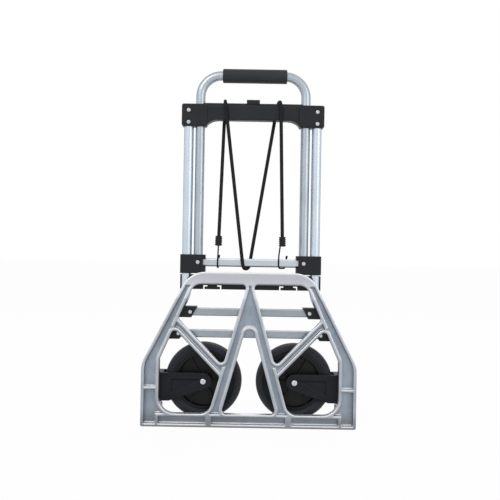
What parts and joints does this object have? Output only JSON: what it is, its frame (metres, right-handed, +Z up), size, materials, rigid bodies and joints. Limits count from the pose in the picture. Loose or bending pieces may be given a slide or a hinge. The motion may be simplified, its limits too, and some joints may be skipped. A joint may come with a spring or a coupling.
{
  "type": "folding hand truck",
  "caption": "Folding hand truck with a sliding U-shaped handle, a hinged cast toe plate, wheels that fold flat behind it and an elastic cord laced across its frame.",
  "frame": {"origin": "on the floor, midway across the truck and midway between the folded toe plate's front and the axles' rear ends", "axes": "+X to the right as seen from the front, -Y towards the front, +Z up"},
  "size_m": [0.486, 0.0769, 0.815],
  "materials": {
    "anodised_tube": "satin anodised",
    "black_plastic": "satin moulded",
    "grip_foam": "matt foam",
    "cast_aluminium": "painted casting, speckled",
    "fork_plastic": "satin moulded",
    "rim_plastic": "satin moulded",
    "tyre_rubber": "matt rubber",
    "steel": "zinc plated",
    "rivet_aluminium": "bright",
    "cord_braid": "woven sleeve",
    "black_wire": "black coated",
    "ferrule_rubber": "matt"
  },
  "bodies": {
    "frame": {"left_side_tube": "anodised_tube", "right_side_tube": "anodised_tube", "upper_crossbar": "black_plastic", "middle_crossbar": "black_plastic", "upper_rung": "anodised_tube", "lower_rung": "anodised_tube", "left_upper_bracket": "black_plastic", "right_upper_bracket": "black_plastic", "left_lower_bracket": "black_plastic", "right_lower_bracket": "black_plastic", "crossbar_rivets": "rivet_aluminium", "rung_rivets": "rivet_aluminium", "left_knuckle": "black_plastic", "right_knuckle": "black_plastic", "left_collar": "black_plastic", "right_collar": "black_plastic", "button_spring": "steel", "elastic_cord": "cord_braid"},
    "handle": {"handle_tube": "anodised_tube", "grip": "grip_foam", "left_slider": "black_plastic", "right_slider": "black_plastic", "slider_crossbar": "anodised_tube", "slider_rivets": "rivet_aluminium", "left_ferrule": "ferrule_rubber", "right_ferrule": "ferrule_rubber", "left_hook": "black_wire", "right_hook": "black_wire"},
    "release": {"release_button": "black_plastic", "lock_bar": "steel"},
    "toe_plate": {"toe_plate": "cast_aluminium", "left_hinge_pin": "steel", "right_hinge_pin": "steel"},
    "left_fork": {"left_fork": "fork_plastic", "left_axle_bolt": "steel", "left_axle_nut": "steel"},
    "right_fork": {"right_fork": "fork_plastic", "right_axle_bolt": "steel", "right_axle_nut": "steel"},
    "left_wheel": {"left_tyre": "tyre_rubber", "left_rim": "rim_plastic", "left_bush": "rim_plastic"},
    "right_wheel": {"right_tyre": "tyre_rubber", "right_rim": "rim_plastic", "right_bush": "rim_plastic"}
  },
  "joints": [
    {"name": "handle_slide", "type": "slide", "parent": "frame", "child": "handle", "axis": [0, 0, 1], "range_m": [0, 0.285], "deforming": ["elastic_cord"]},
    {"name": "button_press", "type": "slide", "parent": "frame", "child": "release", "axis": [0, 0, -1], "range_m": [0, 0.005], "stiffness_N_per_m": 800, "springref_m": -0.004, "deforming": ["button_spring"]},
    {"name": "plate_fold", "type": "hinge", "parent": "frame", "child": "toe_plate", "pos_m": [0, -0.0065, 0.043], "axis": [1, 0, 0], "range_deg": [0, 90]},
    {"name": "left_fork_swing", "type": "hinge", "parent": "frame", "child": "left_fork", "pos_m": [-0.218, -0.0065, 0.1], "axis": [0, 0, 1], "range_deg": [0, 90]},
    {"name": "right_fork_swing", "type": "hinge", "parent": "frame", "child": "right_fork", "pos_m": [0.218, -0.0065, 0.1], "axis": [0, 0, 1], "range_deg": [-90, 0]},
    {"name": "left_wheel_spin", "type": "hinge", "parent": "left_fork", "child": "left_wheel", "pos_m": [-0.104, 0.0065, 0.1], "axis": [0, 1, 0], "continuous": true},
    {"name": "right_wheel_spin", "type": "hinge", "parent": "right_fork", "child": "right_wheel", "pos_m": [0.104, 0.0065, 0.1], "axis": [0, 1, 0], "continuous": true}
  ],
  "couplings": [
    {"joint": "left_fork_swing", "follows": "plate_fold", "ratio": 1},
    {"joint": "right_fork_swing", "follows": "plate_fold", "ratio": -1}
  ]
}
